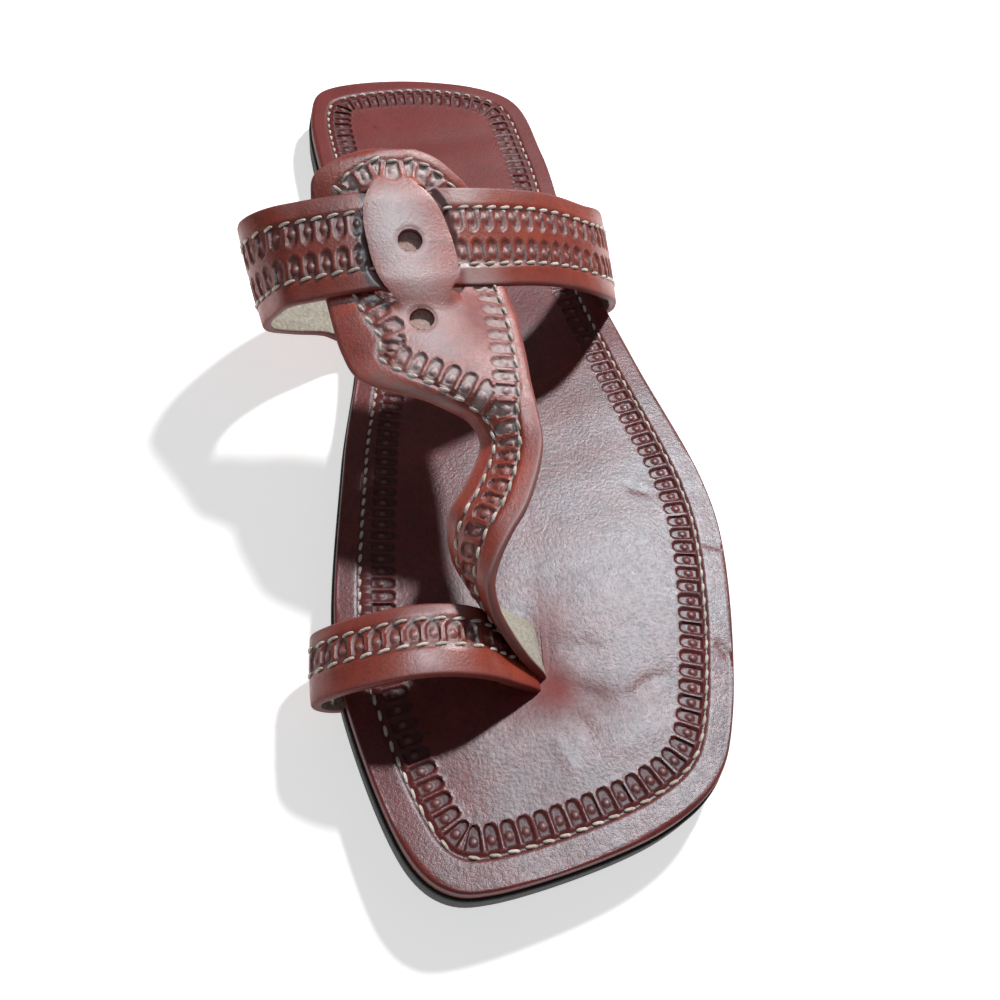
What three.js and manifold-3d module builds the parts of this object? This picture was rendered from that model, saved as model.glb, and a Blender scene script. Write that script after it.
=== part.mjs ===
// Leather toe-loop sandal for a left foot: rubber outsole, leather footbed, and straps that form its upper.
// Millimetres, +Z up, toe at -Y, outer side of the foot at +X. Strap heights start at the footbed's top.

import * as THREE from 'three';
import Module from 'manifold-3d';

const wasm = await Module();
wasm.setup();

const OUTSOLE_THICK = 8;
const FOOTBED_THICK = 4.2;
const SEAM_GAP = 0.3;
const FOOTBED_UNDERSIDE = OUTSOLE_THICK + SEAM_GAP;
const FOOTBED_TOP = FOOTBED_UNDERSIDE + FOOTBED_THICK;
const OUTSOLE_LEDGE = 0.8;
const TREAD_CHAMFER = 1;
const WELT_CHAMFER = 0.5;
const FOOTBED_EDGE_ROUND = 1.2;
const FOOTBED_EDGE_FACET = 0.36;
const TOE_SPRING = 3;
const TOE_BREAK_Y = -85;
const TOE_TIP_Y = -135;
const ARCH_RISE = 1.6;
const ARCH_FRONT_Y = -15;
const ARCH_BACK_Y = 55;
const SOLE_ROWS = 56;
const OUTLINE_SAMPLES = 480;

const STRAP_THICK = 2.4;
const END_GAP = 0.8;
const CROSS_WIDTH = 26;
const LOOP_WIDTH = 17;
const POST_WIDTH = 14.3;
const WEAVE_RISE = 2;
const WEAVE_MIDDLE_Y = 13;
const WEAVE_FULL = 9;
const WEAVE_REACH = 20;
const WEAVE_BLEND = 0.03;
const SLIT_ACROSS = 0.056;
const SLIT_BOW_POWER = 3;
const SLIT_CUT_DEPTH = 5;
const HOLE_RADIUS = 3;
const HOLE_CUT_DEPTH = 12;
const HOLE_SIDES = 24;
const NORMAL_STEP = 0.0005;
const WELD_DECIMALS = 4;

const RUBBER_BLACK = 0x1b1a18;
const FOOTBED_BROWN = 0x7a3a30;
const STRAP_BROWN = 0x742f28;
const RUBBER_ROUGHNESS = 0.85;
const LEATHER_ROUGHNESS = 0.5;

// Names the columns of a table, so that each row is read as an object.
function table(names, rows) {
  const columns = names.split(' ');
  return rows.map((row) => Object.fromEntries(columns.map((column, k) => [column, row[k]])));
}

// Edge of the outsole seen from above, from the back of the heel down the outer side and round the toe.
const SOLE_OUTLINE = table('x y', [
  [-5, 137.5],
  [25.5, 129],
  [33.5, 100],
  [37, 58],
  [47.5, 10],
  [58.5, -34],
  [59, -56],
  [49.5, -101],
  [41.5, -116],
  [26, -126],
  [-13.5, -135],
  [-23.5, -134],
  [-31, -127.5],
  [-42, -97],
  [-45.5, -74],
  [-41, -22.5],
  [-34.5, 24],
  [-41, 77],
  [-45, 119],
  [-40.5, 130.5],
]);

// Instep strap from its outer pocket, over the instep, to its inner pocket: the middle line, and the
// direction from the front edge to the back edge as a turn about Z (yaw) and a rise (lift) in degrees.
const CROSS_STRAP = table('x y z yaw lift', [
  [30, 46.4, -5.75, 3, 0],
  [36.5, 46.1, -5.75, 3, 0],
  [40.6, 45.8, -4.9, 0, 3],
  [42.7, 45, -1.6, -8, 10],
  [42.6, 43, 4.2, -7, 15],
  [39, 36, 15, 0, 14],
  [31.8, 27.5, 25.5, 1, 16],
  [20.6, 23.5, 33.1, 2, 17],
  [10.6, 20, 38, 3, 18],
  [-7.5, 14.7, 43.1, 4, 20],
  [-20, 13, 44.4, 0, 19.5],
  [-32.9, 12.9, 43.2, -6, 18],
  [-46.8, 14, 39, -7, 21],
  [-54, 15, 35.8, -10, 21],
  [-60.2, 18.6, 27.5, -15, 32],
  [-60.6, 24, 17.5, -13, 31],
  [-54.5, 29.6, 8.8, -8, 18],
  [-45, 33.8, 1.2, -5, 5],
  [-39, 34.8, -4.2, -4.5, 1],
  [-33, 35, -5.75, -4.5, 0],
  [-26, 35, -5.75, -4.5, 0],
]);

// Big-toe loop from its inner pocket, over the toe, down to the post between the toes.
const TOE_LOOP = table('x y z yaw lift', [
  [-34, -81, -5.75, 1, 0],
  [-41, -81, -5.75, 1, 0],
  [-46, -81.2, -4.8, 1, 0],
  [-48.9, -81.5, -1.6, 1, 0],
  [-49.2, -81.8, 2.5, 1, 0],
  [-45, -82.4, 8.4, 1, 0],
  [-37.5, -82.6, 13.2, 1, 0],
  [-28, -82.6, 16.6, 1, 0],
  [-19.4, -82.8, 16.8, 1, 0],
  [-12, -83, 13.9, -4, 0],
  [-7.8, -83, 8.8, -14, 0],
  [-2.6, -82.6, 3, -14, 0],
  [0.2, -82.3, 0, -10, 0],
  [1.2, -82.1, -2.2, -7, 0],
  [1.5, -82, -4.45, -6, 0],
]);

// T-strap from the post, twisting up on to the instep and widening to the round lobe: its outer edge,
// its inner edge, and how far the middle stands above the straight line between them (crown).
const T_STRAP = table('outerX outerY outerZ innerX innerY innerZ crown', [
  [4, -87.6, -4.45, 2.8, -73.4, -4.45, 0.2],
  [3.6, -87.4, 0, 2.4, -73.2, 0, 0.2],
  [-1.6, -85.2, 8.5, -3.2, -72, 4.2, 0.3],
  [-6, -82.2, 16, -8.6, -70, 8.2, 0.4],
  [-9.1, -78.7, 22, -12.8, -66.4, 12, 0.6],
  [-10, -74.5, 26.2, -15.7, -62.2, 15.4, 0.8],
  [-8.3, -69.8, 29, -17.1, -57.8, 19.8, 1],
  [-5.2, -64.8, 31, -16.6, -54, 24.2, 1],
  [-0.5, -58, 32.8, -12.8, -48.6, 26, 1],
  [4.8, -43.4, 34.8, -8, -38, 27, 1.2],
  [4.7, -35.3, 35.4, -10.6, -32.6, 29.6, 1.4],
  [4.3, -30.3, 35.6, -19.6, -28.4, 32.2, 2],
  [4.1, -25.8, 35.6, -36, -20.8, 31.2, 3],
  [4.1, -20.5, 35.6, -39.6, -13.4, 31.6, 3.6],
  [3.2, -3.3, 35.6, -42.5, -0.2, 34.9, 4.5],
  [-0.8, 12.6, 40.4, -44.4, 13.2, 39.9, 4.3],
  [-6.2, 27.6, 47.6, -45.4, 26.6, 45.2, 3.4],
  [-9.4, 30.6, 49.2, -44.6, 31.2, 47.2, 2.8],
  [-14.1, 33.7, 51, -40.1, 33.6, 49.4, 2],
  [-20.4, 35.5, 52.2, -30, 35.8, 51.6, 1],
]);

// Cuts in the T-strap, placed by row of its table (along) and by share of its width (across). The slits bow
// out in the middle, and their ends turn in to endAcross.
const SLITS = table('alongFrom alongTo across endAcross', [
  [14.15, 15.9, 0.232, 0.325],
  [14.15, 15.9, 0.745, 0.655],
]);
const HOLES = table('along across', [
  [13.6, 0.53],
  [14.98, 0.49],
]);

// Closed solid from points and triangles.
function solidFrom(points, triangles) {
  const vertProperties = new Float32Array(points.flatMap((p) => [p.x, p.y, p.z]));
  const triVerts = new Uint32Array(triangles.flat());
  return new wasm.Manifold(new wasm.Mesh({ numProp: 3, vertProperties, triVerts }));
}

// Closed solid from a three.js geometry, with its doubled seam points welded.
function fromGeometry(geometry) {
  const position = geometry.getAttribute('position');
  const keys = new Map();
  const points = [];
  const weld = Array.from({ length: position.count }, (_, k) => {
    const point = new THREE.Vector3().fromBufferAttribute(position, k);
    const key = point.toArray().map((value) => value.toFixed(WELD_DECIMALS)).join();
    if (!keys.has(key)) {
      keys.set(key, points.length);
      points.push(point);
    }
    return keys.get(key);
  });
  const index = Array.from(geometry.index.array, (k) => weld[k]);
  const triangles = [];
  for (let k = 0; k < index.length; k += 3) {
    const corners = index.slice(k, k + 3);
    if (new Set(corners).size === 3) {
      triangles.push(corners);
    }
  }
  return solidFrom(points, triangles);
}

// How far the sole curls up along its length: nothing behind the toe break, most at the tip.
function toeSpring(y) {
  const share = Math.max(0, (TOE_BREAK_Y - y) / (TOE_BREAK_Y - TOE_TIP_Y));
  return TOE_SPRING * share * share;
}

// Hollow under the waist of the outsole, between the flat forefoot and the flat heel.
function archHollow(y) {
  const share = THREE.MathUtils.clamp((y - ARCH_FRONT_Y) / (ARCH_BACK_Y - ARCH_FRONT_Y), 0, 1);
  return ARCH_RISE * Math.sin(Math.PI * share) ** 2;
}

// Outline of the sole moved inwards by the inset, as a closed list of points in the plane.
function insetOutline(inset) {
  const corners = SOLE_OUTLINE.map((row) => new THREE.Vector3(row.x, row.y, 0));
  const curve = new THREE.CatmullRomCurve3(corners, true, 'centripetal');
  return Array.from({ length: OUTLINE_SAMPLES }, (_, k) => {
    const point = curve.getPoint(k / OUTLINE_SAMPLES);
    const tangent = curve.getTangent(k / OUTLINE_SAMPLES);
    return new THREE.Vector2(point.x + tangent.y * inset, point.y - tangent.x * inset);
  });
}

// Ring of points round the sole at one inset: up the inner side from the toe, back down the outer side,
// in rows across the foot that crowd together at the toe and the heel.
function soleRing(inset, height) {
  const outline = insetOutline(inset);
  const ys = outline.map((p) => p.y);
  const middle = (Math.max(...ys) + Math.min(...ys)) / 2;
  const half = (Math.max(...ys) - Math.min(...ys)) / 2;
  const inner = [];
  const outer = [];
  for (let k = 0; k < SOLE_ROWS; k += 1) {
    const y = middle - half * Math.cos((Math.PI * (k + 0.5)) / SOLE_ROWS);
    const crossings = [];
    outline.forEach((p, i) => {
      const q = outline[(i + 1) % outline.length];
      if (p.y <= y !== q.y <= y) {
        crossings.push(p.x + ((q.x - p.x) * (y - p.y)) / (q.y - p.y));
      }
    });
    inner.push(new THREE.Vector3(Math.min(...crossings), y, height(y)));
    outer.push(new THREE.Vector3(Math.max(...crossings), y, height(y)));
  }
  return [...inner, ...outer.reverse()];
}

// Solid through rings from the bottom one to the top one, closed below and above by rows across the foot.
function stackRings(rings) {
  const count = 2 * SOLE_ROWS;
  const top = (rings.length - 1) * count;
  const triangles = [];
  for (let k = 0; k < count; k += 1) {
    const next = (k + 1) % count;
    for (let base = 0; base < top; base += count) {
      triangles.push([base + next, base + k, base + count + k]);
      triangles.push([base + next, base + count + k, base + count + next]);
    }
  }
  for (let k = 0; k < SOLE_ROWS - 1; k += 1) {
    const across = count - 1 - k;
    triangles.push([k, k + 1, across], [k + 1, across - 1, across]);
    triangles.push([top + k + 1, top + k, top + across], [top + across - 1, top + k + 1, top + across]);
  }
  return solidFrom(rings.flat(), triangles);
}

// Sheet of even thickness about a surface(along, across), cut to a window of those two shares. Its rows are
// spread evenly over the window, and the end trim pulls in only the first and the last row.
function sheetSolid(surface, { alongFrom, alongTo, endTrim, acrossFrom, acrossTo, rows, columns, half }) {
  const upper = [];
  const lower = [];
  for (let i = 0; i <= rows; i += 1) {
    const even = THREE.MathUtils.lerp(alongFrom, alongTo, i / rows);
    const along = THREE.MathUtils.clamp(even, alongFrom + endTrim, alongTo - endTrim);
    for (let j = 0; j <= columns; j += 1) {
      const across = THREE.MathUtils.lerp(acrossFrom, acrossTo, j / columns);
      const lengthwise = surface(along + NORMAL_STEP, across).sub(surface(along - NORMAL_STEP, across));
      const crosswise = surface(along, across + NORMAL_STEP).sub(surface(along, across - NORMAL_STEP));
      const normal = lengthwise.cross(crosswise).normalize();
      const point = surface(along, across);
      upper.push(point.clone().addScaledVector(normal, half));
      lower.push(point.clone().addScaledVector(normal, -half));
    }
  }
  const wide = columns + 1;
  const under = upper.length;
  const triangles = [];
  const rim = [];
  for (let i = 0; i < rows; i += 1) {
    for (let j = 0; j < columns; j += 1) {
      const a = i * wide + j;
      const b = a + wide;
      triangles.push([a, b, a + 1], [b, b + 1, a + 1]);
      triangles.push([under + a, under + a + 1, under + b], [under + b, under + a + 1, under + b + 1]);
    }
    rim.push([i * wide, (i + 1) * wide], [(i + 1) * wide + columns, i * wide + columns]);
  }
  for (let j = 0; j < columns; j += 1) {
    rim.push([j + 1, j], [rows * wide + j, rows * wide + j + 1]);
  }
  rim.forEach(([p, q]) => triangles.push([q, p, under + p], [q, under + p, under + q]));
  return solidFrom([...upper, ...lower], triangles);
}

// Smooth curve through three columns of a table; each row takes an equal share of 0 to 1.
function traceColumns(rows, columns) {
  const points = rows.map((row) => new THREE.Vector3(...columns.map((column) => row[column] ?? 0)));
  const curve = new THREE.CatmullRomCurve3(points, false, 'centripetal');
  const along = (u) => THREE.MathUtils.clamp(u, 0, 1);
  return {
    point: (u) => curve.getPoint(along(u)),
    tangent: (u) => curve.getTangent(along(u)),
    length: curve.getLength(),
  };
}

// Strap of even width: the middle line carries a straight edge-to-edge line square to it.
function bandSurface(rows, width) {
  const middle = traceColumns(rows, ['x', 'y', 'z']);
  const turns = traceColumns(rows, ['yaw', 'lift']);
  return (along, across) => {
    const turn = turns.point(along);
    const yaw = THREE.MathUtils.degToRad(turn.x);
    const lift = THREE.MathUtils.degToRad(turn.y);
    const tangent = middle.tangent(along);
    const toBack = new THREE.Vector3(Math.sin(yaw), Math.cos(yaw), Math.tan(lift));
    toBack.addScaledVector(tangent, -toBack.dot(tangent)).normalize();
    return middle.point(along).addScaledVector(toBack, (across - 0.5) * width);
  };
}

// Where a slit's middle lies across the T-strap at a row of its table.
function slitAcross(slit, row) {
  const fromMiddle = Math.abs(2 * row - slit.alongFrom - slit.alongTo) / (slit.alongTo - slit.alongFrom);
  return THREE.MathUtils.lerp(slit.across, slit.endAcross, Math.min(fromMiddle, 1) ** SLIT_BOW_POWER);
}

// Share of the weave's full rise at a place on the T-strap: +1 on the bridge over the instep strap,
// -1 on the wings under it, fading out in front of and behind the crossing.
function weaveShare(y, row, across) {
  const fade = 1 - THREE.MathUtils.smoothstep(Math.abs(y - WEAVE_MIDDLE_Y), WEAVE_FULL, WEAVE_REACH);
  const [outerSlit, innerSlit] = SLITS.map((slit) => slitAcross(slit, row));
  const inFromOuter = THREE.MathUtils.smoothstep(across - outerSlit, -WEAVE_BLEND, WEAVE_BLEND);
  const inFromInner = THREE.MathUtils.smoothstep(innerSlit - across, -WEAVE_BLEND, WEAVE_BLEND);
  return fade * (2 * inFromOuter * inFromInner - 1);
}

// T-strap: straight lines between its two edges, raised by the crown and woven at the crossing.
function teeSurface(rows) {
  const outer = traceColumns(rows, ['outerX', 'outerY', 'outerZ']);
  const inner = traceColumns(rows, ['innerX', 'innerY', 'innerZ']);
  return (along, across) => {
    const place = THREE.MathUtils.clamp(along, 0, 1) * (rows.length - 1);
    const row = Math.min(Math.floor(place), rows.length - 2);
    const crown = THREE.MathUtils.lerp(rows[row].crown, rows[row + 1].crown, place - row);
    const edge = outer.point(along);
    const chord = inner.point(along).sub(edge);
    const normal = outer.tangent(along).add(inner.tangent(along)).cross(chord).normalize();
    const point = edge.addScaledVector(chord, across);
    const weave = WEAVE_RISE * weaveShare(point.y, place, across);
    return point.addScaledVector(normal, crown * 4 * across * (1 - across) + weave);
  };
}

// A strap as it is, and the room it needs: the table runs to the end walls of its pockets, the strap stops
// an end gap short of them, and its room is a seam gap wider and thicker all round.
function strapAndRoom(surface, length, width, grid) {
  const sideGap = SEAM_GAP / width;
  const strap = sheetSolid(surface, {
    alongFrom: 0,
    alongTo: 1,
    endTrim: END_GAP / length,
    acrossFrom: 0,
    acrossTo: 1,
    half: STRAP_THICK / 2,
    ...grid,
  });
  const room = sheetSolid(surface, {
    alongFrom: 0,
    alongTo: 1,
    endTrim: 0,
    acrossFrom: -sideGap,
    acrossTo: 1 + sideGap,
    half: STRAP_THICK / 2 + SEAM_GAP,
    ...grid,
  });
  return { strap, room };
}

// Strap tables measure from the footbed's top; solids stand on the ground.
const raised = (rows, column) => rows.map((row) => ({ ...row, [column]: row[column] + FOOTBED_TOP }));
const crossRows = raised(CROSS_STRAP, 'z');
const loopRows = raised(TOE_LOOP, 'z');
const teeRows = raised(raised(T_STRAP, 'outerZ'), 'innerZ');

// Outsole: black rubber, its tread edge and welt edge broken, hollow at the waist and turned up at the toe.
const outsoleBlank = stackRings([
  soleRing(TREAD_CHAMFER, (y) => toeSpring(y) + archHollow(y)),
  soleRing(0, (y) => toeSpring(y) + archHollow(y) + TREAD_CHAMFER),
  soleRing(0, (y) => toeSpring(y) + OUTSOLE_THICK - WELT_CHAMFER),
  soleRing(WELT_CHAMFER, (y) => toeSpring(y) + OUTSOLE_THICK),
]);

// Footbed: thick leather, its top edge rounded, lying on the outsole.
const footbedBlank = stackRings([
  soleRing(OUTSOLE_LEDGE, (y) => toeSpring(y) + FOOTBED_UNDERSIDE),
  soleRing(OUTSOLE_LEDGE, (y) => toeSpring(y) + FOOTBED_TOP - FOOTBED_EDGE_ROUND),
  soleRing(OUTSOLE_LEDGE + FOOTBED_EDGE_FACET, (y) => toeSpring(y) + FOOTBED_TOP - FOOTBED_EDGE_FACET),
  soleRing(OUTSOLE_LEDGE + FOOTBED_EDGE_ROUND, (y) => toeSpring(y) + FOOTBED_TOP),
]);

// Upper: instep strap, toe loop and T-strap, one leather piece where they cross and at the post.
const crossLength = traceColumns(crossRows, ['x', 'y', 'z']).length;
const crossSheet = bandSurface(crossRows, CROSS_WIDTH);
const cross = strapAndRoom(crossSheet, crossLength, CROSS_WIDTH, { rows: 72, columns: 3 });

const loopLength = traceColumns(loopRows, ['x', 'y', 'z']).length;
const loopSheet = bandSurface(loopRows, LOOP_WIDTH);
const loop = strapAndRoom(loopSheet, loopLength, LOOP_WIDTH, { rows: 40, columns: 2 });

const teeLast = teeRows.length - 1;
const teeAlong = (row) => row / teeLast;
const teeSheet = teeSurface(teeRows);
const teeLength = traceColumns(teeRows, ['outerX', 'outerY', 'outerZ']).length;
const tee = strapAndRoom(teeSheet, teeLength, POST_WIDTH, { rows: 80, columns: 20 });

const slitCuts = SLITS.map((slit) => {
  const slitSheet = (along, aside) => teeSheet(along, slitAcross(slit, along * teeLast) + aside);
  return sheetSolid(slitSheet, {
    alongFrom: teeAlong(slit.alongFrom),
    alongTo: teeAlong(slit.alongTo),
    endTrim: 0,
    acrossFrom: -SLIT_ACROSS / 2,
    acrossTo: SLIT_ACROSS / 2,
    rows: 12,
    columns: 1,
    half: SLIT_CUT_DEPTH,
  });
});

const holeCuts = HOLES.map((hole) => {
  const along = teeAlong(hole.along);
  const centre = teeSheet(along, hole.across);
  const ahead = teeSheet(along + NORMAL_STEP, hole.across).sub(centre);
  const aside = teeSheet(along, hole.across + NORMAL_STEP).sub(centre);
  const axis = ahead.cross(aside).normalize();
  const punch = new THREE.CylinderGeometry(HOLE_RADIUS, HOLE_RADIUS, HOLE_CUT_DEPTH, HOLE_SIDES);
  punch.applyQuaternion(new THREE.Quaternion().setFromUnitVectors(new THREE.Vector3(0, 1, 0), axis));
  punch.translate(centre.x, centre.y, centre.z);
  return fromGeometry(punch);
});

const teeCut = [...slitCuts, ...holeCuts].reduce((solid, cut) => solid.subtract(cut), tee.strap);
const upper = teeCut.add(cross.strap).add(loop.strap);
const footbed = footbedBlank.subtract(tee.room).subtract(loop.room).subtract(cross.room);
const outsole = outsoleBlank.subtract(loop.room).subtract(cross.room);

// Named mesh of a solid.
function meshOf(name, solid, color, roughness) {
  const { vertProperties, triVerts } = solid.getMesh();
  const geometry = new THREE.BufferGeometry();
  geometry.setAttribute('position', new THREE.BufferAttribute(vertProperties, 3));
  geometry.setIndex(new THREE.BufferAttribute(triVerts, 1));
  const mesh = new THREE.Mesh(geometry, new THREE.MeshStandardMaterial({ color, roughness, metalness: 0 }));
  mesh.name = name;
  return mesh;
}

const group = new THREE.Group();
group.add(
  meshOf('outsole', outsole, RUBBER_BLACK, RUBBER_ROUGHNESS),
  meshOf('footbed', footbed, FOOTBED_BROWN, LEATHER_ROUGHNESS),
  meshOf('upper', upper, STRAP_BROWN, LEATHER_ROUGHNESS),
);

// The origin is under the middle of the whole sandal, on the ground.
const box = new THREE.Box3().setFromObject(group);
const centre = box.getCenter(new THREE.Vector3());
group.children.forEach((mesh) => mesh.geometry.translate(-centre.x, -centre.y, -box.min.z));

export default group;
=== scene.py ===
"""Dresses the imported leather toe-loop sandal: rubber outsole, stamped and stitched footbed, three leather straps."""

from math import cos, pi, radians, sin

import bpy
import numpy as np
from mathutils import Matrix, Vector


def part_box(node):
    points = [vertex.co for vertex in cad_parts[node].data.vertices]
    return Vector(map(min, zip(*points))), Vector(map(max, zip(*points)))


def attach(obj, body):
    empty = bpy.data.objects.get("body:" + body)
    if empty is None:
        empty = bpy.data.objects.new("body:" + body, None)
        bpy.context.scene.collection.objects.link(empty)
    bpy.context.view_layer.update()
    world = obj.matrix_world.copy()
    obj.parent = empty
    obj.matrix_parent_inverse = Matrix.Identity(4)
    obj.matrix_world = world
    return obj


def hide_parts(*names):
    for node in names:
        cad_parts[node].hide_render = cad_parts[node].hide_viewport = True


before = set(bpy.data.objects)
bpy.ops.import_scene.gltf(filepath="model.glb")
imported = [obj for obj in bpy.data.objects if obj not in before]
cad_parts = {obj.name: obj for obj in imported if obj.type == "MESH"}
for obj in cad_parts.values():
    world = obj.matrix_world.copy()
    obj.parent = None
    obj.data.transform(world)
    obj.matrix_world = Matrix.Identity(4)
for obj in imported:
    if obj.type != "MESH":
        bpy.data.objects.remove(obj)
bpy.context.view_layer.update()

# Outsole: one slab of black moulded rubber, cemented under the footbed all round.
# Its side is buffed by hand, so fine upright marks show, and dust lies in the seam under the leather.

MM = 0.001
OUTSOLE_THICK = 8.0
OUTSOLE_LEDGE = 0.8
TREAD_CHAMFER = 1.0
WELT_CHAMFER = 0.5
FOOTBED_TOP = 12.5
TOE_SPRING = 3.0
TOE_BREAK_Y, TOE_TIP_Y = -85.0, -135.0
ARCH_RISE = 1.6
ARCH_FRONT_Y, ARCH_BACK_Y = -15.0, 55.0
OUTSOLE_ROUND = 480
UNDER_FOOTBED_IN = 2.5
CORNER_SOFT = 9.0
SPINE_LENGTH = 0.74
SHARP_EDGE = radians(55)

# Edge of the sole from the back of the heel down the outer side: x, y, how far in the stitches run, the gap from them
# to the stamps, and the pitch of both.
SOLE_OUTLINE = np.array([
    (-5, 137.5, 6.2, 1.6, 3.2), (25.5, 129, 6.8, 1.8, 3.3), (33.5, 100, 6.9, 1.9, 3.3), (37, 58, 7.0, 1.6, 3.5),
    (47.5, 10, 7.8, 1.2, 3.8), (58.5, -34, 8.1, 0.9, 3.9), (59, -56, 8.1, 0.9, 3.9), (49.5, -101, 7.8, 0.9, 3.9),
    (41.5, -116, 7.8, 0.9, 3.9), (26, -126, 8.1, 0.9, 3.9), (-13.5, -135, 8.1, 0.9, 3.9), (-23.5, -134, 8.5, 0.9, 3.9),
    (-31, -127.5, 8.3, 1.0, 3.9), (-42, -97, 7.4, 1.6, 3.8), (-45.5, -74, 7.0, 2.7, 3.6), (-41, -22.5, 6.8, 2.2, 3.1),
    (-34.5, 24, 7.0, 1.6, 3.0), (-41, 77, 6.7, 1.5, 2.9), (-45, 119, 6.7, 1.4, 2.9), (-40.5, 130.5, 7.6, 1.4, 3.0)])


def smooth_path(knots, share, closed=False):
    """Centripetal Catmull-Rom curve: each span between two knots takes an equal part of share 0 to 1, and the
    slopes at its ends come from the four nearest knots, timed by the square root of their distances. Knots that
    coincide take their neighbour's time."""
    knots, share = np.asarray(knots, float), np.asarray(share, float)
    count = len(knots)
    place = share * (count if closed else count - 1)
    span = np.floor(place).astype(int) if closed else np.clip(np.floor(place).astype(int), 0, count - 2)
    w = (place - span)[:, None]
    row = knots if closed else np.vstack([2 * knots[0] - knots[1], knots, 2 * knots[-1] - knots[-2]])
    p0, p1, p2, p3 = (row[(span + k - int(closed)) % len(row)] for k in range(4))
    t0, t1, t2 = (np.sqrt(np.linalg.norm(b - a, axis=1))[:, None] for a, b in ((p0, p1), (p1, p2), (p2, p3)))
    t1 = np.where(t1 < 0.01, 1, t1)
    t0, t2 = np.where(t0 < 0.01, t1, t0), np.where(t2 < 0.01, t1, t2)
    leave = ((p1 - p0) / t0 - (p2 - p0) / (t0 + t1) + (p2 - p1) / t1) * t1
    arrive = ((p2 - p1) / t1 - (p3 - p1) / (t1 + t2) + (p3 - p2) / t2) * t1
    return p1 + leave * w + (3 * (p2 - p1) - 2 * leave - arrive) * w**2 + (2 * (p1 - p2) + leave + arrive) * w**3


def unit(vectors):
    """Each vector divided by its own length."""
    return vectors / np.linalg.norm(vectors, axis=-1, keepdims=True)


def dot(a, b):
    """Scalar product of each vector with its partner."""
    return (a * b).sum(-1)


def ease(low, high, value):
    """Smooth step: 0 below low, 1 above high, and 3t^2 - 2t^3 between them."""
    t = np.clip((value - low) / (high - low), 0, 1)
    return t * t * (3 - 2 * t)


def looped(ring):
    """A ring with its first point again at its end."""
    return np.vstack([ring, ring[:1]])


def run_along(path):
    """Distance from the start of a path to each of its points."""
    return np.append(0, np.cumsum(np.linalg.norm(np.diff(path, axis=0), axis=1)))


def along_path(points, marks, at):
    """Rows of a table at new marks, straight between the marks that it has."""
    return np.column_stack([np.interp(at, marks, column) for column in points.T])


def toe_spring(y):
    """How far the sole curls up: the square of the way from the toe break to the tip."""
    return TOE_SPRING * np.maximum(0, (TOE_BREAK_Y - y) / (TOE_BREAK_Y - TOE_TIP_Y)) ** 2


def sole_edge(count):
    """Points evenly round the outline, the direction inwards from each, that direction averaged over its neighbours, so
    that lines drawn inwards don't cross at the corners, and the stitch margin, stamp gap and pitch there."""
    dense = looped(smooth_path(SOLE_OUTLINE, np.linspace(0, 1, 4001)[:-1], closed=True))
    run = run_along(dense[:, :2])
    ring = along_path(dense, run, np.linspace(0, run[-1], count, endpoint=False))
    ahead = np.roll(ring[:, :2], -1, 0) - np.roll(ring[:, :2], 1, 0)
    inward = unit(np.column_stack([ahead[:, 1], -ahead[:, 0]]))
    reach = int(CORNER_SOFT * count / run[-1])
    window = np.hanning(2 * reach + 3)[1:-1]
    soft = sum(np.roll(inward, k - reach, 0) * window[k] for k in range(2 * reach + 1))
    return ring[:, :2], inward, unit(soft), *ring[:, 2:].T


def sole_spine(points):
    """A point of the sole's middle line for each point of a ring: its y drawn in to the spine's share of the length,
    and its x half-way across the ring there."""
    low, high = points[:, 1].min(), points[:, 1].max()
    y = (low + high) / 2 + SPINE_LENGTH * (points[:, 1] - (low + high) / 2)
    grid = np.linspace(low, high, 60)
    level_with = [points[np.abs(points[:, 1] - g) < 6, 0] for g in grid]
    return np.column_stack([np.interp(y, grid, [(x.min() + x.max()) / 2 for x in level_with]), y])


def drawn_in(ring, shares):
    """Copies of a ring, each drawn a share of the way to the sole's spine."""
    way = sole_spine(ring) - ring
    return np.array([ring + way * share for share in shares])


def ring_faces(first, second, count):
    """Four-sided faces between two rings of the same count, given the index where each ring starts."""
    k = np.arange(count)
    n = (k + 1) % count
    return np.column_stack([first + k, first + n, second + n, second + k])


def ring_stack(first, rings, count):
    """Four-sided faces between each ring and the next, for rings that are stored one after another."""
    return np.vstack([ring_faces(first + k * count, first + (k + 1) * count, count) for k in range(rings - 1)])


def new_object(name, data):
    """An object at the origin with a given mesh, lamp or camera, linked to the scene."""
    made = bpy.data.objects.new(name, data)
    bpy.context.scene.collection.objects.link(made)
    return made


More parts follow.
